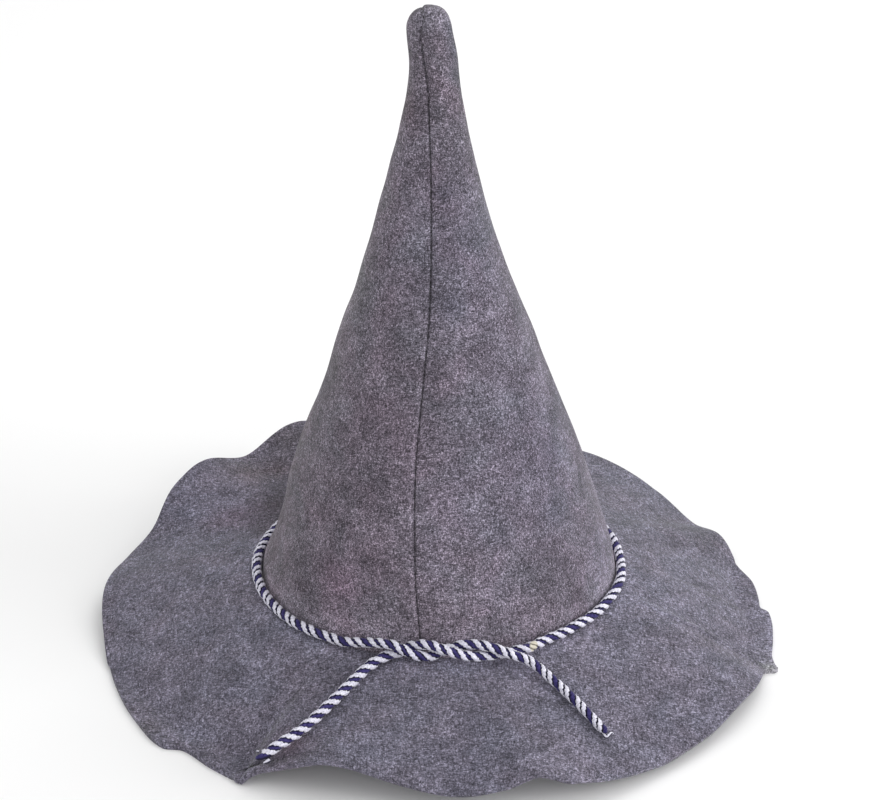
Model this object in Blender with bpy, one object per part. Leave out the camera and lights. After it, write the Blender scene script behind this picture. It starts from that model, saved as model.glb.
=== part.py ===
"""A tall pointed felt hat with a wavy brim and a twisted cord tied round the foot of its crown.

Metres, +Z up. The hat rests on z = 0 with its crown upright. The seam of the crown and the tie of
the cord face -Y, and bearings are in degrees from +X, counted anticlockwise as seen from above.
"""
import math
from itertools import accumulate
from typing import NamedTuple

import bmesh
import bpy
from mathutils import Vector

# Felt
FELT_THICKNESS = 0.0025
SEWING_GAP = 0.0003

# Crown, a cone sewn up along one seam at the front
FOOT_RADIUS = 0.095
CROWN_HEIGHT = 0.311
CROWN_COLUMNS = 64
CROWN_ROWS = 22
TIP_ROWS = 4
TIP_SHARE = 0.035
TIP_BLUNTNESS = 0.7
SEAM_WIDTH = 0.007
SEAM_DEPTH = 0.0013
SEAM_CROWDING = 0.35
FRONT_BEARING = 270.0


class Section(NamedTuple):
    """One level of the crown."""

    height: float  # share of CROWN_HEIGHT above the crown's lower edge
    radius: float  # share of FOOT_RADIUS
    lean: float  # shift of its centre towards +X, share of FOOT_RADIUS
    seam: float  # bearing of the seam past the front, degrees


CROWN_SECTIONS = (
    Section(0.000, 1.000, 0.000, -7.5),
    Section(0.080, 0.950, -0.001, -7.5),
    Section(0.140, 0.885, 0.000, -7.5),
    Section(0.290, 0.714, -0.002, -7.2),
    Section(0.370, 0.615, -0.004, -6.0),
    Section(0.450, 0.528, -0.015, -4.5),
    Section(0.610, 0.341, -0.030, -2.5),
    Section(0.760, 0.211, -0.030, -4.0),
    Section(0.860, 0.144, -0.023, -8.0),
    Section(0.920, 0.127, -0.029, -14.0),
    Section(0.965, 0.117, -0.047, -18.0),
    Section(1.000, 0.112, -0.050, -20.0),
)

# Brim, a ring of felt sewn round the crown's lower edge, which sags to the surface in ruffles
FOOT_HEIGHT = 0.032
BRIM_WIDTH = 0.086
BRIM_COLUMNS = 120
BRIM_ROWS = 8
RIM_LEVEL = 0.40
SLOPE_POWER = 1.05
RUFFLE_POWER = 1.9


class Ruffle(NamedTuple):
    """One crest, trough or corner of the rim."""

    bearing: float  # degrees
    reach: float  # share of BRIM_WIDTH
    height: float  # share of FOOT_HEIGHT; below 0 the felt is pressed flat on the surface


BRIM_RUFFLES = (
    Ruffle(3, 0.99, -0.30),
    Ruffle(6, 0.95, -0.30),
    Ruffle(18, 0.95, -0.10),
    Ruffle(27, 0.98, 0.20),
    Ruffle(34, 0.95, 0.17),
    Ruffle(45, 1.01, 0.38),
    Ruffle(61, 1.05, 0.70),
    Ruffle(73, 1.02, 0.55),
    Ruffle(88, 0.98, -0.30),
    Ruffle(103, 1.01, 0.50),
    Ruffle(117, 1.03, 1.22),
    Ruffle(129, 0.98, 0.86),
    Ruffle(138, 1.02, 1.05),
    Ruffle(147, 0.99, 0.90),
    Ruffle(155, 0.95, 0.50),
    Ruffle(163, 1.01, 0.31),
    Ruffle(174, 1.02, 0.34),
    Ruffle(189, 0.98, 0.12),
    Ruffle(201, 0.98, -0.10),
    Ruffle(213, 1.00, -0.30),
    Ruffle(222, 1.03, -0.30),
    Ruffle(225, 0.98, -0.30),
    Ruffle(237, 1.03, -0.30),
    Ruffle(240, 1.00, 0.05),
    Ruffle(243, 1.00, 0.36),
    Ruffle(251, 0.96, 0.60),
    Ruffle(262, 0.95, 0.46),
    Ruffle(273, 0.98, 0.29),
    Ruffle(284, 0.96, 0.50),
    Ruffle(289, 1.00, 0.38),
    Ruffle(305, 1.05, 0.15),
    Ruffle(316, 0.98, 0.15),
    Ruffle(326, 1.01, 0.25),
    Ruffle(340, 0.98, 0.18),
    Ruffle(345, 1.02, -0.30),
    Ruffle(352, 0.98, -0.30),
)

# Cord, laid once round the crown's foot, its two strands twisted round each other at the front
CORD_DIAMETER = 0.0055
CORD_BEVEL_RESOLUTION = 3


class Stretch(NamedTuple):
    """One stretch of the cord's route, from its left free tip to its right one."""

    step: float  # spacing of the tube's rings
    points: tuple  # places that the cord's middle passes through


CORD_ROUTE = (
    Stretch(0.012, (  # left free end, which lies on the brim
        (-0.0854, -0.1568, 0.0163),
        (-0.0775, -0.1536, 0.0211),
        (-0.0660, -0.1458, 0.0254),
        (-0.0505, -0.1258, 0.0304),
        (-0.0355, -0.1048, 0.0352),
    )),
    Stretch(0.006, (  # through the tie
        (-0.0275, -0.0986, 0.0374),
        (-0.0206, -0.0962, 0.0385),
        (-0.0138, -0.0959, 0.0419),
        (-0.0058, -0.0992, 0.0448),
        (0.0035, -0.1026, 0.0436),
        (0.0140, -0.1023, 0.0402),
        (0.0257, -0.0985, 0.0382),
        (0.0370, -0.0950, 0.0386),
        (0.0455, -0.0914, 0.0386),
    )),
    Stretch(0.014, (  # round the crown, by the right side and the back
        (0.0540, -0.0829, 0.0380),
        (0.0643, -0.0739, 0.0376),
        (0.0838, -0.0505, 0.0376),
        (0.0967, -0.0137, 0.0376),
        (0.0908, 0.0367, 0.0376),
        (0.0601, 0.0769, 0.0376),
        (0.0136, 0.0967, 0.0376),
        (-0.0367, 0.0907, 0.0376),
        (-0.0769, 0.0601, 0.0376),
        (-0.0967, 0.0136, 0.0376),
        (-0.0936, -0.0286, 0.0376),
        (-0.0754, -0.0633, 0.0376),
        (-0.0495, -0.0846, 0.0382),
        (-0.0385, -0.0903, 0.0408),
    )),
    Stretch(0.006, (  # through the tie again, round the first strand
        (-0.0285, -0.0956, 0.0435),
        (-0.0215, -0.0994, 0.0441),
        (-0.0136, -0.1021, 0.0414),
        (-0.0056, -0.1006, 0.0388),
        (0.0035, -0.0973, 0.0407),
        (0.0140, -0.0975, 0.0440),
        (0.0257, -0.1003, 0.0440),
        (0.0360, -0.1014, 0.0406),
        (0.0450, -0.1022, 0.0373),
    )),
    Stretch(0.012, (  # right free end, which lies on the brim
        (0.0532, -0.1076, 0.0330),
        (0.0685, -0.1250, 0.0267),
        (0.0818, -0.1418, 0.0200),
    )),
)

FULL_TURN = 360.0
WELD = 0.00001


def clear_scene():
    for item in list(bpy.data.objects):
        bpy.data.objects.remove(item, do_unlink=True)


def smooth_column(rows, key, column, at):
    """Value of a table's column at a place between its rows, on a smooth curve through them all."""
    keys = [getattr(row, key) for row in rows]
    values = [getattr(row, column) for row in rows]
    last = len(keys) - 2
    i = 0
    while i < last and keys[i + 1] <= at:
        i += 1

    def slope(k):
        low = max(k - 1, 0)
        high = min(k + 1, len(keys) - 1)
        return (values[high] - values[low]) / (keys[high] - keys[low])

    span = keys[i + 1] - keys[i]
    t = (at - keys[i]) / span
    return (
        values[i] * (2 * t**3 - 3 * t**2 + 1)
        + slope(i) * span * (t**3 - 2 * t**2 + t)
        + values[i + 1] * (3 * t**2 - 2 * t**3)
        + slope(i + 1) * span * (t**3 - t**2)
    )


def turned_copy(rows, turns):
    return [row._replace(bearing=row.bearing + turns * FULL_TURN) for row in rows]


BRIM_ALL_ROUND = turned_copy(BRIM_RUFFLES, -1) + list(BRIM_RUFFLES) + turned_copy(BRIM_RUFFLES, 1)


def polar(bearing, radius, height):
    angle = math.radians(bearing)
    return Vector((radius * math.cos(angle), radius * math.sin(angle), height))


def crown_point(u, v):
    """A point of the crown's outer face: u goes once round from the back, v from the foot to the tip."""
    tip_start = 1.0 - TIP_ROWS / CROWN_ROWS
    if v <= tip_start:
        share = (1.0 - TIP_SHARE) * v / tip_start
        rounding = 1.0
    else:
        turn = (v - tip_start) / (1.0 - tip_start) * math.pi / 2
        share = 1.0 - TIP_SHARE + TIP_SHARE * math.sin(turn)
        rounding = max(math.cos(turn), 0.0) ** TIP_BLUNTNESS

    def section(column):
        return smooth_column(CROWN_SECTIONS, "height", column, share)

    radius = FOOT_RADIUS * section("radius") * rounding
    side = 2.0 * u - 1.0
    from_seam = math.pi * (SEAM_CROWDING * side + (1.0 - SEAM_CROWDING) * side * abs(side))
    along_seam = abs(from_seam) * radius / (SEAM_WIDTH / 2)
    groove = SEAM_DEPTH * rounding * max(0.0, 1.0 - along_seam**2) ** 2
    bearing = FRONT_BEARING + section("seam") + math.degrees(from_seam)
    point = polar(bearing, radius - groove, FOOT_HEIGHT + CROWN_HEIGHT * share)
    point.x += FOOT_RADIUS * section("lean")
    return point


def brim_point(u, v):
    """A point of the brim's underside: u goes once round, v from the crown to the rim."""
    bearing = FULL_TURN * u
    reach = smooth_column(BRIM_ALL_ROUND, "bearing", "reach", bearing)
    rim = smooth_column(BRIM_ALL_ROUND, "bearing", "height", bearing)
    slope = (1.0 - RIM_LEVEL) * v**SLOPE_POWER
    ruffle = (rim - RIM_LEVEL) * v**RUFFLE_POWER
    height = FOOT_HEIGHT * (1.0 - slope + ruffle)
    return polar(bearing, FOOT_RADIUS + SEWING_GAP + BRIM_WIDTH * reach * v, max(height, 0.0))


class CordPlace(NamedTuple):
    """A point of the cord's route, with how far along it lies."""

    run: float
    x: float
    y: float
    z: float


def cord_points():
    """The tube's rings, read from one smooth curve through the route."""
    route = [point for stretch in CORD_ROUTE for point in stretch.points]
    gaps = [math.dist(a, b) for a, b in zip(route, route[1:])]
    runs = list(accumulate(gaps, initial=0.0))
    places = [CordPlace(run, *point) for run, point in zip(runs, route)]

    def place(run):
        return [smooth_column(places, "run", column, run) for column in ("x", "y", "z")]

    rings = []
    first = 0
    for stretch in CORD_ROUTE:
        last = min(first + len(stretch.points), len(places) - 1)
        length = places[last].run - places[first].run
        pieces = round(length / stretch.step)
        rings += [place(places[first].run + length * k / pieces) for k in range(pieces)]
        first = last
    return rings + [place(places[-1].run)]


def add_material(item, colour, roughness):
    material = bpy.data.materials.new(item.name)
    material.use_nodes = True
    shader = material.node_tree.nodes["Principled BSDF"]
    shader.inputs["Base Color"].default_value = (*colour, 1.0)
    shader.inputs["Roughness"].default_value = roughness
    shader.inputs["Metallic"].default_value = 0.0
    item.data.materials.append(material)


def felt_round(name, columns, rows, place):
    """A round of felt: a grid wrapped once round the hat, welded to itself and then given its thickness."""
    work = bmesh.new()
    bmesh.ops.create_grid(work, x_segments=columns, y_segments=rows, size=0.5)
    for vert in work.verts:
        vert.co = place(vert.co.x + 0.5, vert.co.y + 0.5)
    bmesh.ops.remove_doubles(work, verts=work.verts, dist=WELD)
    mesh = bpy.data.meshes.new(name)
    work.to_mesh(mesh)
    work.free()
    mesh.shade_smooth()
    item = bpy.data.objects.new(name, mesh)
    bpy.context.collection.objects.link(item)
    wall = item.modifiers.new("felt", "SOLIDIFY")
    wall.thickness = FELT_THICKNESS
    wall.offset = -1.0
    wall.use_even_offset = True
    return item


def make_crown():
    crown = felt_round("crown", CROWN_COLUMNS, CROWN_ROWS, crown_point)
    add_material(crown, (0.150, 0.136, 0.172), 0.95)


def make_brim():
    brim = felt_round("brim", BRIM_COLUMNS, BRIM_ROWS, brim_point)
    add_material(brim, (0.158, 0.144, 0.182), 0.95)


def make_cord():
    rings = cord_points()
    curve = bpy.data.curves.new("hat_cord", "CURVE")
    curve.dimensions = "3D"
    curve.bevel_depth = CORD_DIAMETER / 2
    curve.bevel_resolution = CORD_BEVEL_RESOLUTION
    curve.use_fill_caps = True
    spline = curve.splines.new("POLY")
    spline.points.add(len(rings) - 1)
    for point, ring in zip(spline.points, rings):
        point.co = (*ring, 1.0)
    cord = bpy.data.objects.new("hat_cord", curve)
    bpy.context.collection.objects.link(cord)
    add_material(cord, (0.420, 0.400, 0.520), 0.85)


clear_scene()
make_crown()
make_brim()
make_cord()
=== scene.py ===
"""A tall pointed felt hat with a wavy brim and a twisted cord tied round the foot of its crown."""

import math
from itertools import accumulate
from typing import NamedTuple

import bmesh
import bpy
from mathutils import Matrix, Vector, kdtree, noise


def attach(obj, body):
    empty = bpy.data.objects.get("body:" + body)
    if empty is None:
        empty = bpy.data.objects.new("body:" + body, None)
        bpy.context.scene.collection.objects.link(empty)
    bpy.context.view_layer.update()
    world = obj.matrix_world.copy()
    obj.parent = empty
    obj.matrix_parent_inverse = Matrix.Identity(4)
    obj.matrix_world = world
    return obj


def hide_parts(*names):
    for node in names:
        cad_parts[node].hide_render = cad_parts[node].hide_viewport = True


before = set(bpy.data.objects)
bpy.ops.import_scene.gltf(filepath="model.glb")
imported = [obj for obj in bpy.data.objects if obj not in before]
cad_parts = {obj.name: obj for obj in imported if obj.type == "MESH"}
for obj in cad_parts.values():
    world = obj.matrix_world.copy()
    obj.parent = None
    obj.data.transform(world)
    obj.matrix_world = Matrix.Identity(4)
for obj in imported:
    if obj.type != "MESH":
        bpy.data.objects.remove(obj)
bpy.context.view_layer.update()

# Camera
# It looks 25 degrees down on the front of the hat, from about 1.3 m, with a long lens that takes in
# the whole hat from its tip to the front of its brim.
camera_data = bpy.data.cameras.new("camera")
camera_data.lens = 98.88
camera_data.sensor_width = 36.0
camera = bpy.data.objects.new("camera", camera_data)
camera.location = (0.00054, -1.13815, 0.66573)
camera.rotation_euler = (math.radians(64.916), 0.0, 0.0)
bpy.context.scene.collection.objects.link(camera)
bpy.context.scene.camera = camera

# Cord round the crown
# A soft cotton cord of four strands laid to the right, two white and two navy, each of them three
# thin yarns. It goes once round the crown, is wrapped over itself in front, and both ends lie cut
# on the brim.
STRAND_RINGS = 0.0007
STRAND_SIDES = 18
STRAND_SLANT = 0.6
STRAND_SQUARE = 0.6
YARNS = 3
YARN_LAY = 0.0051
YARN_RELIEF = 0.45
TIP_ROUNDING = 0.0009
WISP_SIDES = 6
WISP_STEPS = 6
WHITE_DEEP, WHITE_PALE = (0.50, 0.49, 0.58), (0.84, 0.83, 0.94)
NAVY_DEEP, NAVY_PALE = (0.016, 0.012, 0.070), (0.060, 0.050, 0.180)
# painted shade of the gaps between strands, at their ragged edges
YARN_GAP_SHADE = (0.020, 0.017, 0.060)
DRIED_GLUE = (0.64, 0.60, 0.50)

CORD_ROUTE = (
    # left free end, which lies on the brim
    (-0.0854, -0.1568, 0.0163),
    (-0.0775, -0.1536, 0.0211),
    (-0.0660, -0.1458, 0.0254),
    (-0.0505, -0.1258, 0.0304),
    (-0.0355, -0.1048, 0.0352),
    # through the tie
    (-0.0275, -0.0986, 0.0374),
    (-0.0206, -0.0962, 0.0385),
    (-0.0138, -0.0959, 0.0419),
    (-0.0058, -0.0992, 0.0448),
    (0.0035, -0.1026, 0.0436),
    (0.0140, -0.1023, 0.0402),
    (0.0257, -0.0985, 0.0382),
    (0.0370, -0.0950, 0.0386),
    (0.0455, -0.0914, 0.0386),
    # round the crown, by the right side and the back
    (0.0540, -0.0829, 0.0380),
    (0.0643, -0.0739, 0.0376),
    (0.0838, -0.0505, 0.0376),
    (0.0967, -0.0137, 0.0376),
    (0.0908, 0.0367, 0.0376),
    (0.0601, 0.0769, 0.0376),
    (0.0136, 0.0967, 0.0376),
    (-0.0367, 0.0907, 0.0376),
    (-0.0769, 0.0601, 0.0376),
    (-0.0967, 0.0136, 0.0376),
    (-0.0936, -0.0286, 0.0376),
    (-0.0754, -0.0633, 0.0376),
    (-0.0495, -0.0846, 0.0382),
    (-0.0385, -0.0903, 0.0408),
    # through the tie again, round the first strand
    (-0.0285, -0.0956, 0.0435),
    (-0.0215, -0.0994, 0.0441),
    (-0.0136, -0.1021, 0.0414),
    (-0.0056, -0.1006, 0.0388),
    (0.0035, -0.0973, 0.0407),
    (0.0140, -0.0975, 0.0440),
    (0.0257, -0.1003, 0.0440),
    (0.0360, -0.1014, 0.0406),
    (0.0450, -0.1022, 0.0373),
    # right free end, which lies on the brim
    (0.0532, -0.1076, 0.0330),
    (0.0685, -0.1250, 0.0267),
    (0.0818, -0.1418, 0.0200),
)


class Strand(NamedTuple):
    """One strand of the cord, as it lies in a cut across it."""

    turn: float  # place round the cord, turns
    out: float  # how far its middle lies from the cord's middle, metres
    thick: float  # half its thickness, metres
    wide: float  # half its width, metres
    navy: bool
    left_cut: float  # how much shorter it is cut at the left free end, metres
    right_cut: float
    loose_turn: float  # how far it shifts where the strands lie loosely and evenly, turns
    loose_size: float  # how thick it is there, as a share


STRANDS = (
    Strand(0.470, 0.00139, 0.00139, 0.00154, False, 0.0012, 0.0016, -0.05, 1.00),
    Strand(0.665, 0.00100, 0.00070, 0.00066, True, 0.0022, 0.0009, 0.00, 1.50),
    Strand(0.860, 0.00139, 0.00139, 0.00154, False, 0.0004, 0.0022, 0.05, 1.00),
    Strand(0.165, 0.00112, 0.00130, 0.00126, True, 0.0000, 0.0000, 0.00, 0.84),
)


class Hold(NamedTuple):
    """How thick the cord is at one place, and how many turns its strands have made up to there."""

    run: float  # metres from the left tip
    size: float
    turns: float
    # 1 where the strands lie evenly, 0 where the two white ones lie close together, below 0 closer still
    loose: float


CORD_HOLDS = (
    # it has come loose at its left end and a little in the tie, and is tight at its right end
    Hold(0.0000, 1.08, -0.04, 1.0),
    Hold(0.0267, 1.07, 2.03, 1.0),
    Hold(0.0420, 1.06, 3.03, 1.0),
    Hold(0.0720, 1.06, 5.03, 1.0),
    Hold(0.1020, 1.04, 7.10, 0.8),
    Hold(0.1385, 1.02, 10.08, 0.7),
    Hold(0.1812, 1.00, 13.06, 0.5),
    Hold(0.2274, 1.00, 16.01, 0.0),
    Hold(0.2627, 1.00, 17.95, 0.0),
    Hold(0.6175, 1.00, 42.98, 0.0),
    Hold(0.6569, 1.00, 46.05, 0.0),
    Hold(0.6865, 1.00, 48.08, 0.0),
    Hold(0.7137, 1.00, 50.07, 0.5),
    Hold(0.7440, 1.03, 52.08, 0.6),
    Hold(0.7701, 1.00, 54.08, 0.3),
    Hold(0.7934, 0.96, 56.05, -0.3),
    Hold(0.8187, 0.94, 58.03, -0.5),
    Hold(0.8450, 0.92, 60.10, -0.5),
)


class Wisp(NamedTuple):
    """A loose end of yarn at a cut tip, along a few points."""

    radius: float
    navy: bool
    points: tuple


WISPS = (
    # right tip: one white yarn comes round below the cut
    Wisp(0.00070, False, ((0.0784, -0.1372, 0.0196), (0.0800, -0.1398, 0.0190),
                          (0.0815, -0.1418, 0.0181), (0.0829, -0.1404, 0.0184),
                          (0.0841, -0.1388, 0.0187), (0.0855, -0.1392, 0.0182))),
    # left tip: the navy strand is cut longest, and short white ends stick out above and below it
    Wisp(0.00200, True, ((-0.0812, -0.1556, 0.0180), (-0.0834, -0.1568, 0.0176),
                         (-0.0858, -0.1576, 0.0170), (-0.0884, -0.1576, 0.0162))),
    Wisp(0.00060, False, ((-0.0866, -0.1552, 0.0186), (-0.0874, -0.1550, 0.0186),
                          (-0.0880, -0.1548, 0.0184))),
    Wisp(0.00110, False, ((-0.0812, -0.1584, 0.0160), (-0.0828, -0.1592, 0.0154),
                          (-0.0846, -0.1594, 0.0146))),
)


def smooth_value(rows, key, column, at):
    """Value of a table's column at a place between its rows, on a smooth curve through them all."""
    keys = [getattr(row, key) for row in rows]
    values = [getattr(row, column) for row in rows]
    last = len(keys) - 2
    i = 0
    while i < last and keys[i + 1] <= at:
        i += 1

    def slope(k):
        low = max(k - 1, 0)
        high = min(k + 1, len(keys) - 1)
        return (values[high] - values[low]) / (keys[high] - keys[low])

    span = keys[i + 1] - keys[i]
    t = (at - keys[i]) / span
    return (
        values[i] * (2 * t**3 - 3 * t**2 + 1)
        + slope(i) * span * (t**3 - 2 * t**2 + t)
        + values[i + 1] * (3 * t**2 - 2 * t**3)
        + slope(i + 1) * span * (t**3 - t**2)
    )


class CordPlace(NamedTuple):
    """A point of the cord's route, with how far along it lies."""

    run: float
    x: float
    y: float
    z: float


class CordRing(NamedTuple):
    """The cord's middle at one place, with the directions across it."""

    run: float
    middle: Vector
    side: Vector
    up: Vector
    along: Vector
    size: float
    turns: float
    loose: float


def cord_rings():
    """The cord's middle line in even steps, with the directions across it and how the strands lie."""
    gaps = [math.dist(a, b) for a, b in zip(CORD_ROUTE, CORD_ROUTE[1:])]
    runs = list(accumulate(gaps, initial=0.0))
    places = [CordPlace(run, *point) for run, point in zip(runs, CORD_ROUTE)]
    pieces = round(runs[-1] / STRAND_RINGS)
    line = []
    for k in range(pieces + 1):
        run = runs[-1] * k / pieces
        line.append(Vector([smooth_value(places, "run", axis, run) for axis in ("x", "y", "z")]))
    rings = []
    run = 0.0
    for k, middle in enumerate(line):
        along = (line[min(k + 1, pieces)] - line[max(k - 1, 0)]).normalized()
        side = along.cross(Vector((0.0, 0.0, 1.0))).normalized()
        hold = [smooth_value(CORD_HOLDS, "run", column, run) for column in ("size", "turns", "loose")]
        rings.append(CordRing(run, middle, side, side.cross(along), along, *hold))
        if k < pieces:
            run += (line[k + 1] - middle).length
    return rings


def lay_strand(work, rings, strand):
    """One strand: a grid rolled into a tube of three yarns that winds round the cord's line."""
    last = len(rings) - 1
    first_ring = round(strand.left_cut / STRAND_RINGS)
    last_ring = last - round(strand.right_cut / STRAND_RINGS)
    grid = bmesh.ops.create_grid(
        work, x_segments=STRAND_SIDES, y_segments=last, size=0.5, calc_uvs=True
    )
    for vert in grid["verts"]:
        ring = rings[min(max(round((vert.co.y + 0.5) * last), first_ring), last_ring)]
        round_strand = 2 * math.pi * vert.co.x
        lay = 2 * math.pi * (strand.turn + strand.loose_turn * ring.loose - ring.turns)
        outward = ring.side * math.cos(lay) + ring.up * math.sin(lay)
        around = ring.side * math.sin(lay) - ring.up * math.cos(lay)
        yarn = abs(math.cos(YARNS / 2 * (round_strand + 2 * math.pi * ring.run / YARN_LAY)))
        from_tip = min(ring.run - rings[first_ring].run, rings[last_ring].run - ring.run)
        closing = math.sqrt(max(0.0, 1.0 - max(0.0, 1.0 - from_tip / TIP_ROUNDING) ** 2))
        size = (1.0 - YARN_RELIEF * (1.0 - yarn)) * closing
        size *= 1.0 + (strand.loose_size - 1.0) * ring.loose
        flat = math.copysign(abs(math.cos(round_strand)) ** STRAND_SQUARE, math.cos(round_strand))
        vert.co = (
            ring.middle
            + outward * ring.size * (strand.out + strand.thick * size * flat)
            + (around * math.cos(STRAND_SLANT) - ring.along * math.sin(STRAND_SLANT))
            * (ring.size * strand.wide * size * math.sin(round_strand))
        )
    paint_yarn(grid["verts"], strand.navy)
    bmesh.ops.remove_doubles(work, verts=grid["verts"], dist=0.000001)


def lay_wisp(work, wisp):
    """A loose end: a thin tube along its points that tapers to its tip."""
    line = [Vector(point) for point in wisp.points]
    keys = [CordPlace(float(k), *point) for k, point in enumerate(line)]
    steps = WISP_STEPS * (len(line) - 1)
    middles = [
        Vector([smooth_value(keys, "run", axis, k / WISP_STEPS) for axis in ("x", "y", "z")])
        for k in range(steps + 1)
    ]
    grid = bmesh.ops.create_grid(work, x_segments=WISP_SIDES, y_segments=steps, size=0.5, calc_uvs=True)
    for vert in grid["verts"]:
        k = round((vert.co.y + 0.5) * steps)
        along = (middles[min(k + 1, steps)] - middles[max(k - 1, 0)]).normalized()
        side = along.cross(Vector((0.0, 0.0, 1.0))).normalized()
        turn = 2 * math.pi * vert.co.x
        size = wisp.radius * math.sqrt(1.0 - (k / steps) ** 3) * (1.0 if k else 0.0)
        vert.co = middles[k] + (side.cross(along) * math.cos(turn) + side * math.sin(turn)) * size
    paint_yarn(grid["verts"], wisp.navy)
    bmesh.ops.remove_doubles(work, verts=grid["verts"], dist=0.000001)


def paint_yarn(verts, navy):
    for face in {face for vert in verts for face in vert.link_faces}:
        face.material_index = int(navy)
        face.smooth = True


def add_material(name):
    material = bpy.data.materials.new(name)
    material.use_nodes = True
    return material, material.node_tree


def math_of(tree, operation, *values, kind="ShaderNodeMath"):
    """A node of one operation, fed with numbers or with other nodes' outputs, and its output."""
    node = tree.nodes.new(kind)
    node.operation = operation
    for socket, value in zip(node.inputs, values):
        if isinstance(value, float):
            socket.default_value = value
        else:
            tree.links.new(value, socket)
    return node.outputs[0]


def yarn_material(name, shade, light, gloss, glow, edge, twists):
    """Soft cotton yarn: fine fibres run along it, its three yarns give it ragged edges, painted shade
    darkens it where the strands press together, and it is stained with dried glue where the right end
    leaves the tie."""
    material, tree = add_material(name)
    nodes, links = tree.nodes, tree.links
    shader = nodes["Principled BSDF"]
    shader.inputs["Roughness"].default_value = 0.85
    shader.inputs["Sheen Weight"].default_value = gloss
    shader.inputs["Sheen Roughness"].default_value = 0.4
    shader.inputs["Specular IOR Level"].default_value = 0.2
    shader.inputs["Subsurface Weight"].default_value = glow
    shader.inputs["Subsurface Radius"].default_value = (1.0, 1.0, 1.0)
    shader.inputs["Subsurface Scale"].default_value = 0.0008

    def tinted(base, tint, amount):
        node = nodes.new("ShaderNodeMix")
        node.data_type = "RGBA"
        node.inputs["B"].default_value = (*tint, 1.0)
        links.new(base, node.inputs["A"])
        links.new(amount, node.inputs["Factor"])
        return node.outputs["Result"]

    uv = nodes.new("ShaderNodeUVMap")
    uv.uv_map = "UVMap"
    split = nodes.new("ShaderNodeSeparateXYZ")
    links.new(uv.outputs["UV"], split.inputs["Vector"])
    around = math_of(tree, "MULTIPLY", split.outputs["X"], 2 * math.pi)
    inward = math_of(tree, "COSINE", around)
    # painted shade on each strand's inner side, where it lies against its neighbours
    painted_shade_between_strands = nodes.new("ShaderNodeMapRange")
    painted_shade_between_strands.interpolation_type = "SMOOTHSTEP"
    painted_shade_between_strands.inputs["From Min"].default_value = 0.00
    painted_shade_between_strands.inputs["From Max"].default_value = -0.60
    painted_shade_between_strands.inputs["To Min"].default_value = 0.42
    painted_shade_between_strands.inputs["To Max"].default_value = 1.0
    links.new(inward, painted_shade_between_strands.inputs["Value"])
    # fibres slant round the strand with its three yarns, each of which bulges at the strand's edge
    slant = math_of(tree, "MULTIPLY_ADD", split.outputs["Y"], twists, split.outputs["X"])
    yarns = math_of(tree, "SINE", math_of(tree, "MULTIPLY", slant, YARNS * math.pi))
    reach = math_of(tree, "MULTIPLY_ADD", math_of(tree, "ABSOLUTE", yarns), -0.42, inward)
    ragged = nodes.new("ShaderNodeMapRange")
    ragged.inputs["From Min"].default_value = edge
    ragged.inputs["From Max"].default_value = edge - 0.16
    links.new(reach, ragged.inputs["Value"])
    fibre_place = nodes.new("ShaderNodeCombineXYZ")
    links.new(math_of(tree, "MULTIPLY", slant, 26.0), fibre_place.inputs["X"])
    links.new(math_of(tree, "MULTIPLY", split.outputs["Y"], 480.0), fibre_place.inputs["Y"])
    fibres = nodes.new("ShaderNodeTexNoise")
    fibres.inputs["Scale"].default_value = 1.0
    fibres.inputs["Detail"].default_value = 1.0
    links.new(fibre_place.outputs["Vector"], fibres.inputs["Vector"])
    place = nodes.new("ShaderNodeTexCoord")
    blotches = nodes.new("ShaderNodeTexNoise")
    blotches.inputs["Scale"].default_value = 900.0
    blotches.inputs["Detail"].default_value = 1.0
    links.new(place.outputs["Object"], blotches.inputs["Vector"])
    mixed = math_of(tree, "ADD", fibres.outputs["Fac"], blotches.outputs["Fac"])
    spread = nodes.new("ShaderNodeMapRange")
    spread.inputs["From Min"].default_value = 0.72
    spread.inputs["From Max"].default_value = 1.20
    links.new(mixed, spread.inputs["Value"])
    colour = nodes.new("ShaderNodeMix")
    colour.data_type = "RGBA"
    colour.inputs["A"].default_value = (*shade, 1.0)
    colour.inputs["B"].default_value = (*light, 1.0)
    links.new(spread.outputs["Result"], colour.inputs["Factor"])
    glue = nodes.new("ShaderNodeMapping")
    glue.vector_type = "TEXTURE"
    glue.inputs["Location"].default_value = (0.0478, -0.0922, 0.0398)
    glue.inputs["Scale"].default_value = (0.0026, 0.0042, 0.0040)
    links.new(place.outputs["Object"], glue.inputs["Vector"])
    spot = nodes.new("ShaderNodeTexGradient")
    spot.gradient_type = "SPHERICAL"
    links.new(glue.outputs["Vector"], spot.inputs["Vector"])
    # painted shade of the gaps between strands, along each strand's ragged edge
    gap_shade = math_of(tree, "SUBTRACT", 1.0, ragged.outputs["Result"])
    gap_shaded = tinted(colour.outputs["Result"], YARN_GAP_SHADE, gap_shade)
    strong_spot = math_of(tree, "MINIMUM", math_of(tree, "MULTIPLY", spot.outputs["Fac"], 3.0), 1.0)
    stained = tinted(gap_shaded, DRIED_GLUE, strong_spot)
    dark = nodes.new("ShaderNodeMix")
    dark.data_type = "RGBA"
    dark.blend_type = "MULTIPLY"
    dark.inputs["Factor"].default_value = 1.0
    links.new(stained, dark.inputs["A"])
    links.new(painted_shade_between_strands.outputs["Result"], dark.inputs["B"])
    links.new(dark.outputs["Result"], shader.inputs["Base Color"])
    bump = nodes.new("ShaderNodeBump")
    bump.inputs["Strength"].default_value = 0.6
    bump.inputs["Distance"].default_value = 0.0002
    links.new(mixed, bump.inputs["Height"])
    links.new(bump.outputs["Normal"], shader.inputs["Normal"])
    return material


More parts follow.
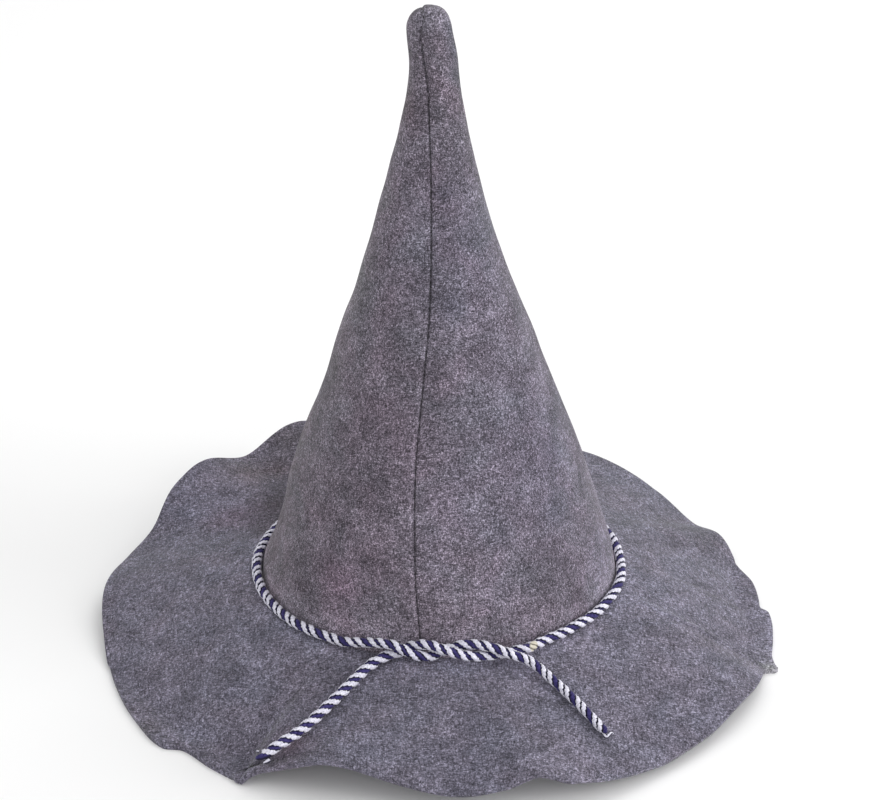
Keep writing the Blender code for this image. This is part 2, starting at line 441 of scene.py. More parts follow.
cord_line = cord_rings()
cord_work = bmesh.new()
cord_work.loops.layers.uv.new("UVMap")
for strand in STRANDS:
    lay_strand(cord_work, cord_line, strand)
for wisp in WISPS:
    lay_wisp(cord_work, wisp)
cord_mesh = bpy.data.meshes.new("hat_cord_strands")
cord_work.to_mesh(cord_mesh)
cord_work.free()
cord_twists = cord_line[-1].run / YARN_LAY
white_yarn = yarn_material(
    "white_yarn", WHITE_DEEP, WHITE_PALE, gloss=0.12, glow=0.40, edge=-0.56, twists=cord_twists
)
navy_yarn = yarn_material(
    "navy_yarn", NAVY_DEEP, NAVY_PALE, gloss=0.10, glow=0.0, edge=-0.38, twists=cord_twists
)
cord_mesh.materials.append(white_yarn)
cord_mesh.materials.append(navy_yarn)
cord = bpy.data.objects.new("hat_cord_strands", cord_mesh)
bpy.context.scene.collection.objects.link(cord)
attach(cord, "root")
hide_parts("hat_cord")

# Crown
# A tall cone of thick grey felt, cut as one flat piece and sewn up along one edge. The seam runs
# down the front as a narrow furrow, and its folded end makes two lobes at the blunt tip.
FELT_THICKNESS = 0.0025
FOOT_RADIUS = 0.095
FOOT_HEIGHT = 0.032
CROWN_HEIGHT = 0.311
CROWN_COLUMNS = 240
CROWN_ROWS = 176
TIP_ROWS = 18
TIP_SHARE = 0.035
SEAM_CROWDING = 0.10
STITCH_LENGTH = 0.0062
FURROW_DEPTH, FURROW_WIDTH = 0.0011, 0.00042
DISH_DEPTH, DISH_WIDTH = 0.0006, 0.0070
LEFT_LIP, RIGHT_LIP, LIP_WIDTH = 0.0005, 0.0002, 0.0012
HOLLOW_DEPTH, HOLLOW_UP, HOLLOW_HIGH = 0.0036, 0.029, 0.020
HOLLOW_BEARING = 172.0
WIDE_WOBBLE, FINE_WOBBLE = 0.0008, 0.0004
TIP_FOLD = -0.0080
FOLD_GROOVE, FOLD_DROP, FOLD_WIDTH = 0.0007, 0.0009, 0.0007
CROWN_WARM, CROWN_COOL = (0.141, 0.115, 0.145), (0.125, 0.114, 0.139)


class Level(NamedTuple):
    """One level of the crown."""

    height: float  # share of CROWN_HEIGHT above the crown's lower edge
    radius: float  # share of FOOT_RADIUS
    lean: float  # shift of its middle to the right, share of FOOT_RADIUS
    seam: float  # bearing of the seam past the front, degrees


CROWN_LEVELS = (
    Level(0.000, 1.000, 0.000, -5.0),
    Level(0.080, 0.950, -0.001, -6.7),
    Level(0.140, 0.885, 0.000, -8.2),
    Level(0.290, 0.714, -0.002, -9.9),
    Level(0.370, 0.615, -0.004, -9.2),
    Level(0.450, 0.528, -0.015, -6.6),
    Level(0.520, 0.440, -0.022, -4.0),
    Level(0.610, 0.341, -0.030, -1.9),
    Level(0.690, 0.268, -0.031, -2.0),
    Level(0.760, 0.211, -0.030, -3.4),
    Level(0.820, 0.168, -0.026, -8.2),
    Level(0.860, 0.144, -0.023, -12.6),
    Level(0.890, 0.132, -0.023, -18.2),
    Level(0.920, 0.126, -0.028, -23.6),
    Level(0.965, 0.117, -0.047, -25.6),
    Level(1.000, 0.112, -0.050, -17.0),
)


class Shade(NamedTuple):
    """A soft patch where the felt is paler or darker; some are the wool's own tone, others painted light
    and shade.
    """

    x: float
    y: float
    z: float
    size: float
    red: float  # how much paler (or darker, below 0) each colour is in its middle
    green: float
    blue: float


CROWN_SHADES = (
    # the right side is a little bluer
    Shade(0.050, -0.030, 0.120, 0.060, -0.09, -0.04, 0.02),
    Shade(0.020, -0.020, 0.230, 0.045, -0.06, 0.00, 0.04),
    # paler right of the seam, low down
    Shade(0.0130, -0.0738, 0.1028, 0.0110, 0.34, 0.36, 0.38),
    Shade(0.0000, -0.0838, 0.0764, 0.0100, 0.30, 0.32, 0.34),
    Shade(-0.0049, -0.0778, 0.0925, 0.0070, 0.40, 0.42, 0.44),
    Shade(-0.0030, -0.0725, 0.1101, 0.0070, 0.28, 0.30, 0.31),
    Shade(0.0285, -0.0731, 0.0916, 0.0090, 0.16, 0.18, 0.20),
    Shade(0.0288, -0.0830, 0.0640, 0.0130, 0.30, 0.33, 0.35),
    Shade(0.0100, -0.0681, 0.1210, 0.0080, 0.16, 0.17, 0.18),
    # painted light at the right of the foot, which lifts the shade of the brim and cord, and a painted
    # highlight along the crown's right edge
    Shade(0.0861, -0.0210, 0.0605, 0.0090, 0.22, 0.24, 0.26),
    Shade(0.0780, -0.0460, 0.0500, 0.0220, 0.08, 0.10, 0.12),
    Shade(0.0880, -0.0250, 0.0540, 0.0180, 0.12, 0.15, 0.20),
    Shade(0.0885, 0.0040, 0.0610, 0.0120, 0.54, 0.56, 0.62),
    Shade(0.0825, 0.0060, 0.0800, 0.0110, 0.56, 0.57, 0.60),
    # painted sheen along the crown's left edge, and paler at the top of the tip
    Shade(-0.0398, -0.0098, 0.2024, 0.0110, 0.18, 0.24, 0.18),
    Shade(-0.0374, 0.0020, 0.2130, 0.0110, 0.44, 0.50, 0.40),
    Shade(-0.0460, 0.0000, 0.1865, 0.0110, 0.42, 0.45, 0.40),
    Shade(-0.0262, -0.0104, 0.2479, 0.0080, 0.16, 0.22, 0.16),
    Shade(-0.0535, -0.0142, 0.1599, 0.0100, 0.13, 0.17, 0.12),
    Shade(-0.0010, -0.0040, 0.3400, 0.0100, 0.36, 0.42, 0.42),
    Shade(-0.0730, 0.0100, 0.0980, 0.0180, 0.34, 0.35, 0.32),
    Shade(-0.0690, 0.0080, 0.1190, 0.0110, 0.22, 0.23, 0.18),
    # darker in places, and painted shade on both sides of the tip
    Shade(0.0068, -0.0380, 0.2010, 0.0085, -0.38, -0.36, -0.34),
    Shade(-0.0138, -0.0339, 0.2104, 0.0060, -0.38, -0.37, -0.37),
    Shade(0.0025, -0.0226, 0.2550, 0.0055, -0.36, -0.34, -0.32),
    Shade(0.0063, -0.0060, 0.3266, 0.0060, -0.22, -0.20, -0.20),
    Shade(0.0595, -0.0498, 0.0946, 0.0100, -0.22, -0.20, -0.18),
    Shade(0.0580, -0.0359, 0.1206, 0.0090, -0.18, -0.16, -0.14),
    Shade(0.0083, -0.0055, 0.3105, 0.0060, -0.36, -0.32, -0.31),
    Shade(0.0092, 0.0000, 0.3045, 0.0060, -0.24, -0.20, -0.18),
    Shade(0.0070, -0.0030, 0.3215, 0.0060, -0.26, -0.20, -0.16),
    Shade(0.0055, -0.0035, 0.3325, 0.0050, -0.34, -0.29, -0.25),
    Shade(-0.0160, -0.0010, 0.3000, 0.0075, -0.30, -0.28, -0.32),
    Shade(-0.0160, -0.0062, 0.2930, 0.0080, -0.20, -0.22, -0.24),
    Shade(-0.0019, -0.0581, 0.1476, 0.0080, -0.15, -0.15, -0.15),
    # browner wool at the left of the foot
    Shade(-0.0499, -0.0716, 0.0661, 0.0140, 0.02, -0.08, -0.03),
)


def polar(bearing, radius, height):
    angle = math.radians(bearing)
    return Vector((radius * math.cos(angle), radius * math.sin(angle), height))


def bump_of(distance, width):
    return math.exp(-((distance / width) ** 2))


def step_of(distance, width):
    return 0.5 + 0.5 * math.tanh(distance / width)


def shade_at(place, shades, tone):
    """Colour of the felt at a point: its own tone and the soft patches near it, some of which are painted
    light and shade.
    """
    colour = [tone, tone, tone]
    for patch in shades:
        share = bump_of((place - Vector((patch.x, patch.y, patch.z))).length, patch.size)
        for k, change in enumerate((patch.red, patch.green, patch.blue)):
            colour[k] *= 1.0 + change * share
    return (*colour, 1.0)


cord_turn = [ring.middle for ring in cord_line if 0.10 < ring.run < 0.79]
cord_places = kdtree.KDTree(len(cord_turn))
for index, middle in enumerate(cord_turn):
    cord_places.insert(middle, index)
cord_places.balance()


def painted_light_beside_cord(place):
    """Painted light on the felt beside the cord's turn round the crown, which pales it where the cord's
    shade falls.
    """
    return 1.0 + 0.45 * bump_of(max(cord_places.find(place)[2] - 0.004, 0.0), 0.0058)


def crown_spot(u, v):
    """Share of the crown's height, share of the full radius and angle from the seam at a grid's point."""
    tip_start = 1.0 - TIP_ROWS / CROWN_ROWS
    side = 2.0 * u - 1.0
    from_seam = math.pi * (SEAM_CROWDING * side + (1.0 - SEAM_CROWDING) * side * abs(side))
    if v <= tip_start:
        return (1.0 - TIP_SHARE) * v / tip_start, 1.0, from_seam
    turn = (v - tip_start) / (1.0 - tip_start) * math.pi / 2
    return 1.0 - TIP_SHARE + TIP_SHARE * math.sin(turn), max(math.cos(turn), 0.0) ** 0.62, from_seam


def crown_place(u, v):
    """A point of the crown's outer face: u goes once round from the back, v from the foot to the tip."""
    share, rounding, from_seam = crown_spot(u, v)
    radius = FOOT_RADIUS * smooth_value(CROWN_LEVELS, "height", "radius", share) * rounding
    seam = smooth_value(CROWN_LEVELS, "height", "seam", share)
    across = from_seam * radius
    up = CROWN_HEIGHT * share
    pull = 0.8 + 0.35 * math.cos(2 * math.pi * up / STITCH_LENGTH)
    # a shallow dish with the sewn furrow in its middle and a low lip on both sides of that
    dent = FURROW_DEPTH * pull * bump_of(across, FURROW_WIDTH) + DISH_DEPTH * bump_of(across, DISH_WIDTH)
    dent -= LEFT_LIP * bump_of(across + 0.0021, LIP_WIDTH) + RIGHT_LIP * bump_of(across - 0.0022, LIP_WIDTH)
    # the felt is drawn in above the cord at the left
    from_hollow = math.radians(270.0 + seam - HOLLOW_BEARING) + from_seam
    dent += (
        HOLLOW_DEPTH * bump_of(up - HOLLOW_UP, HOLLOW_HIGH) * step_of(up - 0.012, 0.0025)
        * (0.5 + 0.5 * math.cos(from_hollow)) ** 6
    )
    place = polar(270.0 + seam + math.degrees(from_seam), radius, FOOT_HEIGHT + up)
    sway = noise.noise(place * 22.0) * WIDE_WOBBLE + noise.noise(place * 60.0) * FINE_WOBBLE
    place = polar(
        270.0 + seam + math.degrees(from_seam), radius + (sway - dent) * rounding, FOOT_HEIGHT + up
    )
    place.x += FOOT_RADIUS * smooth_value(CROWN_LEVELS, "height", "lean", share)
    # the seam's folded end goes over the top, and the lobe on its left stands lower
    dome = step_of(share - 0.975, 0.008)
    from_fold = TIP_FOLD - place.x
    in_front = step_of(0.006 - place.y, 0.002)
    place.z -= dome * FOLD_GROOVE * bump_of(from_fold, FOLD_WIDTH) * in_front
    place.z -= dome * FOLD_DROP * step_of(from_fold, FOLD_WIDTH)
    # a small hollow under the folded end
    place.z -= dome * 0.0008 * bump_of(math.hypot(place.x + 0.0078, place.y + 0.0080), 0.0012)
    return place


def crown_shade(place, u, v):
    share, rounding, from_seam = crown_spot(u, v)
    across = from_seam * FOOT_RADIUS * smooth_value(CROWN_LEVELS, "height", "radius", share) * rounding
    # painted shade in the furrow, deepest at each stitch, and less so near the tip
    stitch = 0.5 + 0.5 * math.cos(2 * math.pi * CROWN_HEIGHT * share / STITCH_LENGTH)
    depth = (0.45 + 0.20 * stitch) * (1.0 - 0.65 * step_of(share - 0.88, 0.02))
    tone = 1.0 - depth * bump_of(across, 0.00040)
    # painted shade beside it at the right halfway up, and a painted highlight on its low lip at the left
    # low down
    halfway_up = step_of(share - 0.34, 0.03) * step_of(0.86 - share, 0.03)
    tone *= 1.0 - 0.14 * bump_of(across - 0.0045, 0.0050) * halfway_up
    tone *= 1.0 + 0.26 * bump_of(across + 0.0022, 0.0013) * step_of(0.40 - share, 0.04)
    return shade_at(place, CROWN_SHADES, tone * painted_light_beside_cord(place))


def felt_round(name, columns, rows, place, shade):
    """A round of felt: a grid wrapped once round the hat, welded to itself and then given its thickness."""
    work = bmesh.new()
    # each point's colour: the wool's own tone with painted light and shade
    wool_and_painted_light = work.verts.layers.float_color.new("wool_and_painted_light")
    bmesh.ops.create_grid(work, x_segments=columns, y_segments=rows, size=0.5)
    for vert in work.verts:
        u, v = vert.co.x + 0.5, vert.co.y + 0.5
        vert.co = place(u, v)
        vert[wool_and_painted_light] = shade(vert.co, u, v)
    bmesh.ops.remove_doubles(work, verts=work.verts, dist=0.000001)
    mesh = bpy.data.meshes.new(name)
    work.to_mesh(mesh)
    work.free()
    mesh.shade_smooth()
    item = bpy.data.objects.new(name, mesh)
    bpy.context.scene.collection.objects.link(item)
    wall = item.modifiers.new("felt", "SOLIDIFY")
    wall.thickness = FELT_THICKNESS
    wall.offset = -1.0
    wall.use_even_offset = True
    edge = item.modifiers.new("edge", "BEVEL")
    edge.width = 0.0007
    edge.segments = 2
    edge.limit_method = "ANGLE"
    edge.angle_limit = math.radians(60)
    return item


def felt_material(name, warm, cool, scale, contrast, bloom):
    """Wool felt: pale and dark fibres matted every way, in soft clouds of slightly different grey."""
    material, tree = add_material(name)
    nodes, links = tree.nodes, tree.links
    shader = nodes["Principled BSDF"]
    shader.inputs["Roughness"].default_value = 0.95
    shader.inputs["Specular IOR Level"].default_value = 0.15
    shader.inputs["Sheen Weight"].default_value = bloom
    shader.inputs["Sheen Roughness"].default_value = 0.30
    shader.inputs["Sheen Tint"].default_value = (0.85, 0.90, 0.82, 1.0)
    place = nodes.new("ShaderNodeTexCoord")

    def wool_noise(turn, stretch, size, detail, roughness, distortion):
        mapping = nodes.new("ShaderNodeMapping")
        mapping.inputs["Rotation"].default_value = turn
        mapping.inputs["Scale"].default_value = stretch
        links.new(place.outputs["Object"], mapping.inputs["Vector"])
        texture = nodes.new("ShaderNodeTexNoise")
        texture.inputs["Scale"].default_value = size
        texture.inputs["Detail"].default_value = detail
        texture.inputs["Roughness"].default_value = roughness
        texture.inputs["Distortion"].default_value = distortion
        links.new(mapping.outputs["Vector"], texture.inputs["Vector"])
        return texture.outputs["Fac"]

    # fibres that lie three ways, the palest and the darkest of which show, and fine grain over them
    one = wool_noise((0.3, 0.2, 0.9), (0.28, 1.0, 1.0), scale, 0.0, 0.5, 0.8)
    two = wool_noise((1.2, 0.8, 0.1), (1.0, 0.28, 1.0), scale, 0.0, 0.5, 0.8)
    three = wool_noise((0.5, 1.4, 2.1), (1.0, 1.0, 0.28), scale, 0.0, 0.5, 0.8)
    pale = math_of(tree, "MAXIMUM", math_of(tree, "MAXIMUM", one, two), three)
    deep = math_of(tree, "MINIMUM", math_of(tree, "MINIMUM", one, two), three)
    grain = wool_noise((0.0, 0.0, 0.0), (1.0, 1.0, 1.0), 1.25 * scale, 1.0, 0.5, 0.0)
    clouds = wool_noise((0.4, 0.0, 0.7), (1.0, 1.0, 1.0), 55.0, 4.0, 0.85, 0.4)
    fibres = math_of(tree, "ADD", math_of(tree, "ADD", pale, deep), grain)
    mixed = math_of(tree, "MULTIPLY_ADD", clouds, 0.9, fibres)
    light = math_of(tree, "POWER", contrast, math_of(tree, "SUBTRACT", mixed, 1.95))
    light = math_of(tree, "MINIMUM", light, 3.5)
    # the clouds also differ in hue
    hue = wool_noise((0.9, 0.3, 0.0), (1.0, 1.0, 1.0), 38.0, 2.0, 0.6, 0.6)
    which = nodes.new("ShaderNodeMapRange")
    which.inputs["From Min"].default_value = 0.30
    which.inputs["From Max"].default_value = 0.70
    links.new(hue, which.inputs["Value"])
    colour = nodes.new("ShaderNodeMix")
    colour.data_type = "RGBA"
    colour.inputs["A"].default_value = (*warm, 1.0)
    colour.inputs["B"].default_value = (*cool, 1.0)
    links.new(which.outputs["Result"], colour.inputs["Factor"])
    # the felt's colour from the mesh: the wool's own tone with painted light and shade
    wool_and_painted_light = nodes.new("ShaderNodeAttribute")
    wool_and_painted_light.attribute_name = "wool_and_painted_light"
    shaded = math_of(
        tree, "MULTIPLY", colour.outputs["Result"], wool_and_painted_light.outputs["Color"], kind="ShaderNodeVectorMath"
    )
    final = nodes.new("ShaderNodeVectorMath")
    final.operation = "SCALE"
    links.new(shaded, final.inputs["Vector"])
    links.new(light, final.inputs["Scale"])
    links.new(final.outputs["Vector"], shader.inputs["Base Color"])
    bump = nodes.new("ShaderNodeBump")
    bump.inputs["Strength"].default_value = 0.8
    bump.inputs["Distance"].default_value = 0.0005
    links.new(mixed, bump.inputs["Height"])
    links.new(bump.outputs["Normal"], shader.inputs["Normal"])
    return material


crown = felt_round("crown_felt", CROWN_COLUMNS, CROWN_ROWS, crown_place, crown_shade)
crown_colour = felt_material(
    "crown_felt", CROWN_WARM, CROWN_COOL, scale=1500.0, contrast=14.0, bloom=0.22
)
crown.data.materials.append(crown_colour)
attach(crown, "root")
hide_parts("crown")

# Seam stitches
# Dark thread of the seam that closes the crown, which shows as a short bit across the bottom of the
# furrow at each stitch.
STITCH_LONG = 0.00085
STITCH_THICK = 0.00026
STITCH_TILT = 0.25
STITCH_SUNK = 0.0009
SEAM_TOP = 0.975
THREAD_DARK, THREAD_PALE = (0.010, 0.008, 0.014), (0.040, 0.034, 0.050)

stitch_work = bmesh.new()
for count in range(1, int(SEAM_TOP * CROWN_HEIGHT / STITCH_LENGTH)):
    share = count * STITCH_LENGTH / CROWN_HEIGHT
    radius = FOOT_RADIUS * smooth_value(CROWN_LEVELS, "height", "radius", share)
    bearing = 270.0 + smooth_value(CROWN_LEVELS, "height", "seam", share)
    middle = polar(bearing, radius - STITCH_SUNK, FOOT_HEIGHT + CROWN_HEIGHT * share)
    middle.x += FOOT_RADIUS * smooth_value(CROWN_LEVELS, "height", "lean", share)
    sphere = bmesh.ops.create_uvsphere(stitch_work, u_segments=10, v_segments=6, radius=1.0)
    # more of the thread shows near the tip
    swell = 1.0 + 1.3 * step_of(share - 0.87, 0.01)
    size = Matrix.Diagonal((STITCH_LONG, STITCH_THICK * swell, STITCH_THICK * swell, 1.0))
    across = Matrix.Rotation(math.radians(bearing + 90.0), 4, "Z") @ Matrix.Rotation(STITCH_TILT, 4, "Y")
    laid = Matrix.Translation(middle) @ across @ size
    bmesh.ops.transform(stitch_work, verts=sphere["verts"], matrix=laid)
for face in stitch_work.faces:
    face.smooth = True
stitch_mesh = bpy.data.meshes.new("seam_stitches")
stitch_work.to_mesh(stitch_mesh)
stitch_work.free()
stitches = bpy.data.objects.new("seam_stitches", stitch_mesh)
bpy.context.scene.collection.objects.link(stitches)
thread, thread_tree = add_material("seam_thread")
thread_shader = thread_tree.nodes["Principled BSDF"]
thread_shader.inputs["Roughness"].default_value = 0.7
twist = thread_tree.nodes.new("ShaderNodeTexNoise")
twist.inputs["Scale"].default_value = 4000.0
thread_place = thread_tree.nodes.new("ShaderNodeTexCoord")
thread_tree.links.new(thread_place.outputs["Object"], twist.inputs["Vector"])
thread_colour = thread_tree.nodes.new("ShaderNodeMix")
thread_colour.data_type = "RGBA"
thread_colour.inputs["A"].default_value = (*THREAD_DARK, 1.0)
thread_colour.inputs["B"].default_value = (*THREAD_PALE, 1.0)
thread_tree.links.new(twist.outputs["Fac"], thread_colour.inputs["Factor"])
thread_tree.links.new(thread_colour.outputs["Result"], thread_shader.inputs["Base Color"])
stitch_mesh.materials.append(thread)
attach(stitches, "root")

# Brim
# A wide ring of the same felt, sewn round the crown's lower edge. It sags to the floor in ruffles,
# its cut edge is left raw, and a sharp fold stands at the front left.
BRIM_WIDTH = 0.086
BRIM_COLUMNS = 720
BRIM_ROWS = 56
FOLD_BEARING = 239.0
FOLD_CROWDING = 0.5
RIM_LEVEL = 0.40
SLOPE_POWER = 1.05
RUFFLE_POWER = 1.9
CREASE_DEPTH, CREASE_WIDTH = 0.0010, 0.0025
EDGE_RISE = 0.0009
BRIM_WARM, BRIM_COOL = (0.141, 0.128, 0.166), (0.132, 0.128, 0.168)


class Ruffle(NamedTuple):
    """One crest, trough or corner of the rim."""

    bearing: float  # degrees
    reach: float  # share of BRIM_WIDTH
    height: float  # share of FOOT_HEIGHT; below 0 the felt lies flat on the floor


BRIM_RUFFLES = (
    Ruffle(2.2, 0.984, -0.30),
    Ruffle(3.4, 0.944, -0.30),
    Ruffle(6, 0.952, -0.30),
    Ruffle(13, 0.978, -0.24),
    Ruffle(18, 0.965, -0.10),
    Ruffle(27, 0.985, 0.20),
    Ruffle(34, 0.95, 0.17),
    Ruffle(45, 0.99, 0.38),
    Ruffle(61, 1.03, 0.65),
    Ruffle(73, 1.02, 0.55),
    Ruffle(88, 0.98, -0.30),
    Ruffle(103, 1.01, 0.50),
    Ruffle(117, 1.03, 1.27),
    Ruffle(129, 1.00, 0.90),
    Ruffle(138, 1.04, 1.06),
    Ruffle(147, 1.02, 0.90),
    Ruffle(155, 0.97, 0.50),
    Ruffle(163, 0.995, 0.31),
    Ruffle(174, 1.02, 0.34),
    Ruffle(189, 0.98, 0.12),
    Ruffle(201, 0.99, -0.10),
    Ruffle(213, 1.025, -0.30),
    Ruffle(222, 1.05, -0.30),
    Ruffle(225, 0.98, -0.30),
    Ruffle(232, 1.00, -0.30),
    Ruffle(236.5, 1.015, -0.30),
    Ruffle(237.8, 1.035, -0.20),
    Ruffle(239.2, 1.025, 0.06),
    Ruffle(241, 0.985, 0.20),
    Ruffle(244, 0.975, 0.33),
    Ruffle(251, 0.96, 0.60),
    Ruffle(256, 0.93, 0.55),
    Ruffle(262, 0.95, 0.46),
    Ruffle(273, 0.98, 0.27),
    Ruffle(280, 0.985, 0.34),
    Ruffle(285.4, 0.995, 0.50),
    Ruffle(290, 1.04, 0.38),
    Ruffle(305, 1.015, 0.15),
    Ruffle(316, 1.00, 0.15),
    Ruffle(326, 0.995, 0.25),
    Ruffle(336, 0.99, 0.20),
    Ruffle(341.2, 0.965, 0.05),
    Ruffle(342.4, 0.975, 0.00),
    Ruffle(343.4, 1.045, -0.10),
    Ruffle(344.8, 1.018, -0.30),
    Ruffle(347.5, 0.990, -0.30),
    Ruffle(352, 0.987, -0.30),
)


class Crease(NamedTuple):
    """The sharp crease of the fold at the front left, a little inside the rim."""

    bearing: float
    radius: float
    depth: float


BRIM_CREASE = (
    Crease(236.4, 0.1815, 0.0),
    Crease(236.9, 0.1795, 0.8),
    Crease(237.3, 0.1768, 1.0),
    Crease(238.0, 0.1764, 1.0),
    Crease(239.1, 0.1772, 1.0),
    Crease(240.0, 0.1770, 0.9),
    Crease(240.8, 0.1760, 0.7),
    Crease(242.0, 0.1752, 0.5),
    Crease(245.0, 0.1745, 0.3),
    Crease(251.0, 0.1730, 0.0),
)

BRIM_SHADES = (
    # thin pale point of felt at the right
    Shade(0.1750, -0.0522, 0.0025, 0.0056, 0.66, 0.74, 0.44),
    Shade(0.1712, -0.0522, 0.0030, 0.0036, 0.24, 0.30, 0.14),
    # painted shadow behind the crown's left side, a little browner
    Shade(-0.0948, 0.0447, 0.0325, 0.0110, -0.42, -0.46, -0.46),
    Shade(-0.0925, 0.0780, 0.0312, 0.0160, -0.50, -0.54, -0.55),
    Shade(-0.0880, 0.0990, 0.0305, 0.0130, -0.44, -0.48, -0.48),
    Shade(-0.0930, 0.0590, 0.0320, 0.0100, -0.34, -0.36, -0.36),
    Shade(-0.0912, 0.1240, 0.0297, 0.0160, -0.26, -0.32, -0.36),
    Shade(-0.0880, 0.1500, 0.0373, 0.0150, -0.20, -0.24, -0.30),
    Shade(-0.1110, 0.0680, 0.0295, 0.0150, -0.08, -0.20, -0.18),
    Shade(-0.1120, 0.1200, 0.0300, 0.0180, -0.08, -0.14, -0.20),
    # darker in places
    Shade(0.0120, -0.1150, 0.0290, 0.0080, -0.20, -0.19, -0.19),
    Shade(0.0166, -0.1406, 0.0237, 0.0080, -0.36, -0.35, -0.34),
    Shade(-0.0052, -0.1552, 0.0201, 0.0070, -0.24, -0.23, -0.22),
    Shade(0.0130, -0.1590, 0.0175, 0.0130, -0.18, -0.17, -0.16),
    Shade(0.0120, -0.1775, 0.0125, 0.0130, -0.18, -0.17, -0.16),
    Shade(-0.0350, -0.1575, 0.0221, 0.0070, -0.26, -0.25, -0.24),
    Shade(-0.0532, -0.1332, 0.0253, 0.0080, -0.22, -0.21, -0.20),
    Shade(0.1085, -0.1215, 0.0143, 0.0080, -0.22, -0.21, -0.20),
    Shade(0.1504, 0.0690, 0.0132, 0.0170, -0.26, -0.26, -0.28),
    Shade(-0.1460, -0.1092, 0.0018, 0.0085, -0.26, -0.26, -0.30),
    Shade(-0.1689, -0.0570, 0.0025, 0.0090, -0.26, -0.25, -0.24),
    Shade(-0.1206, -0.0844, 0.0151, 0.0080, -0.20, -0.19, -0.18),
    # paler in places
    Shade(0.1100, -0.0174, 0.0302, 0.0090, 0.22, 0.22, 0.22),
    Shade(0.1667, -0.0020, 0.0028, 0.0110, 0.28, 0.28, 0.28),
    Shade(0.1400, -0.0150, 0.0120, 0.0350, 0.06, 0.06, 0.06),
    Shade(-0.1300, 0.0900, 0.0280, 0.0320, 0.12, 0.13, 0.14),
    Shade(0.1720, -0.0390, 0.0025, 0.0085, 0.52, 0.54, 0.50),
    Shade(0.1467, -0.1042, 0.0109, 0.0080, 0.18, 0.18, 0.18),
    Shade(-0.1132, -0.1077, 0.0102, 0.0080, 0.22, 0.22, 0.20),
    Shade(-0.0762, -0.1379, 0.0173, 0.0070, 0.20, 0.18, 0.18),
    Shade(0.0582, -0.1130, 0.0273, 0.0070, 0.38, 0.38, 0.40),
    Shade(-0.0665, -0.1223, 0.0235, 0.0080, 0.16, 0.16, 0.16),
    Shade(-0.1208, 0.0620, 0.0270, 0.0090, 0.20, 0.16, 0.16),
    # painted light in front of the tie, which lifts the shade the tie casts on the brim
    Shade(-0.0175, -0.0980, 0.0338, 0.0075, 0.70, 0.70, 0.70),
    Shade(0.0090, -0.0985, 0.0338, 0.0080, 0.85, 0.85, 0.85),
    Shade(0.0430, -0.1020, 0.0325, 0.0070, 0.30, 0.30, 0.32),
    # painted shade along the crease, which runs on into the corner
    Shade(-0.0957, -0.1482, 0.0025, 0.0013, -0.90, -0.90, -0.90),
    Shade(-0.0966, -0.1502, 0.0027, 0.0013, -0.90, -0.90, -0.90),
    Shade(-0.0973, -0.1524, 0.0034, 0.0012, -0.80, -0.80, -0.80),
    # pinker wool below the cord's left end
    Shade(-0.0720, -0.1490, 0.0185, 0.0110, 0.16, -0.03, -0.02),
)


def turned_copy(rows, turns):
    return [row._replace(bearing=row.bearing + 360.0 * turns) for row in rows]


BRIM_ALL_ROUND = turned_copy(BRIM_RUFFLES, -1) + list(BRIM_RUFFLES) + turned_copy(BRIM_RUFFLES, 1)


def crease_at(bearing, radius):
    """How near a point is to the crease's bottom, from 0 to 1, and whether it lies outside it, on the
    felt's turned-up edge, which hides the bottom's outer half from the front."""
    if not BRIM_CREASE[0].bearing < bearing < BRIM_CREASE[-1].bearing:
        return 0.0, 0.0
    depth = max(smooth_value(BRIM_CREASE, "bearing", "depth", bearing), 0.0)
    outside = radius - smooth_value(BRIM_CREASE, "bearing", "radius", bearing)
    return depth * bump_of(outside + 0.0023, CREASE_WIDTH), depth * step_of(outside, 0.0005)


def brim_spot(u, v):
    """Bearing and share of the brim's width at a grid's point, which lie closer towards the fold and
    the rim."""
    turn = 360.0 * u
    turn -= math.degrees(FOLD_CROWDING * math.sin(math.radians(turn - FOLD_BEARING)))
    return turn, 1.6 * v - 0.6 * v * v


def brim_place(u, v):
    """A point of the brim's lower face: u goes once round, v from the crown to the rim."""
    bearing, v = brim_spot(u, v)
    reach = smooth_value(BRIM_ALL_ROUND, "bearing", "reach", bearing)
    rim = smooth_value(BRIM_ALL_ROUND, "bearing", "height", bearing)
    slope = (1.0 - RIM_LEVEL) * v**SLOPE_POWER
    ruffle = (rim - RIM_LEVEL) * v**RUFFLE_POWER
    height = FOOT_HEIGHT * (1.0 - slope + ruffle)
    radius = FOOT_RADIUS + BRIM_WIDTH * reach * v
    bottom, outer = crease_at(bearing, radius)
    place = polar(bearing, radius, max(height - CREASE_DEPTH * bottom, 0.0) + EDGE_RISE * outer)
    # the felt is slightly uneven where it is clear of the floor
    free = max(0.0, min(1.0, height / 0.004)) * v
    place.z += free * (WIDE_WOBBLE * noise.noise(place * 30.0) + FINE_WOBBLE * noise.noise(place * 75.0))
    return place


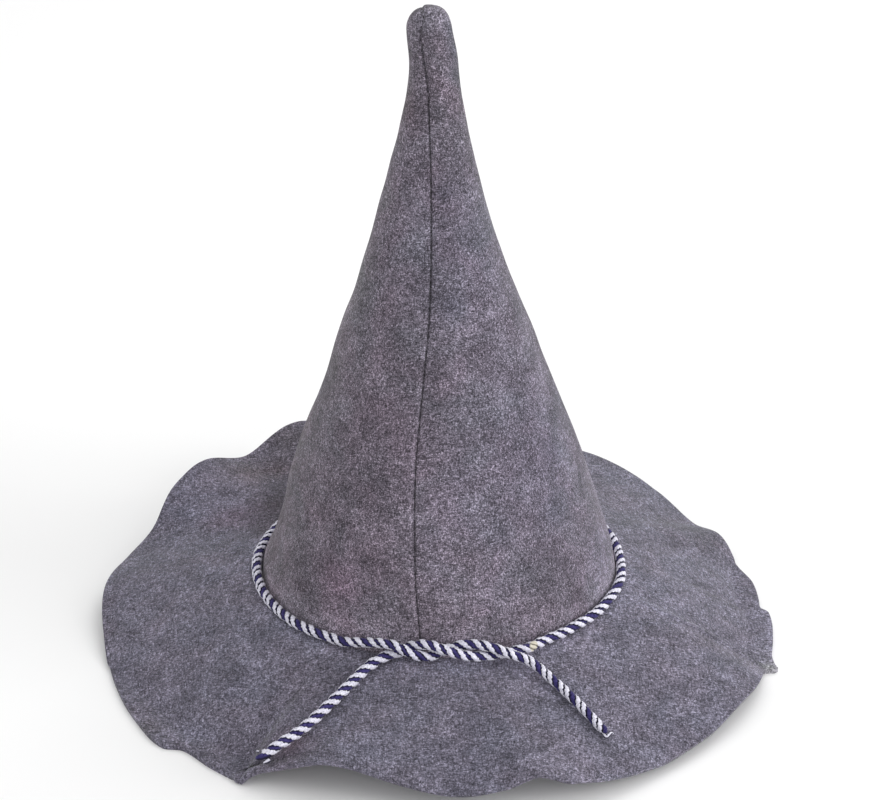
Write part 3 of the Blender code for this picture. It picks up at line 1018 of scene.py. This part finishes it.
def brim_shade(place, u, v):
    bearing, v = brim_spot(u, v)
    bottom, outer = crease_at(bearing, math.hypot(place.x, place.y))
    # painted shade at the bottom of the crease, and a little painted light on the turned-up edge outside it
    tone = (1.0 - 0.97 * min(bottom, 1.0)) * (1.0 + 0.08 * outer)
    # the cut edge looks paler at the right
    at_right = step_of(math.cos(math.radians(bearing - 353.0)) - 0.985, 0.006)
    tone *= 1.0 + 0.28 * step_of(v - 0.968, 0.006) * at_right
    return shade_at(place, BRIM_SHADES, tone * painted_light_beside_cord(place))


brim = felt_round("brim_felt", BRIM_COLUMNS, BRIM_ROWS, brim_place, brim_shade)
brim_colour = felt_material("brim_felt", BRIM_WARM, BRIM_COOL, scale=1150.0, contrast=9.0, bloom=0.25)
brim.data.materials.append(brim_colour)
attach(brim, "root")
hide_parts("brim")

# Floor and light
# A wide pale floor, a soft bright room, a big soft lamp low on the right, a weak one in front and
# another high behind.
LAMP_SIZE = 1.6
LAMP_AIM = Vector((0.0, 0.0, 0.12))

floor_work = bmesh.new()
bmesh.ops.create_grid(floor_work, x_segments=1, y_segments=1, size=4.0)
floor_mesh = bpy.data.meshes.new("floor")
floor_work.to_mesh(floor_mesh)
floor_work.free()
floor = bpy.data.objects.new("floor", floor_mesh)
bpy.context.scene.collection.objects.link(floor)
floor_paint, floor_tree = add_material("floor")
floor_shader = floor_tree.nodes["Principled BSDF"]
floor_shader.inputs["Base Color"].default_value = (0.92, 0.92, 0.92, 1.0)
floor_shader.inputs["Roughness"].default_value = 0.9
floor_mesh.materials.append(floor_paint)

world = bpy.data.worlds.new("room")
world.use_nodes = True
room_light = world.node_tree.nodes["Background"]
room_light.inputs["Color"].default_value = (1.0, 1.0, 1.0, 1.0)
room_light.inputs["Strength"].default_value = 0.83
bpy.context.scene.world = world
bpy.context.scene.view_settings.view_transform = "Standard"


def soft_lamp(name, place, power):
    """A square lamp of LAMP_SIZE that faces the hat."""
    lamp_data = bpy.data.lights.new(name, "AREA")
    lamp_data.size = LAMP_SIZE
    lamp_data.energy = power
    lamp = bpy.data.objects.new(name, lamp_data)
    lamp.location = place
    lamp.rotation_euler = (LAMP_AIM - Vector(place)).to_track_quat("-Z", "Y").to_euler()
    bpy.context.scene.collection.objects.link(lamp)


soft_lamp("key", (2.30, -0.84, 0.89), 31.0)
soft_lamp("front_fill", (0.42, -2.41, 0.89), 9.0)
soft_lamp("back_light", (0.84, 1.45, 1.99), 15.0)
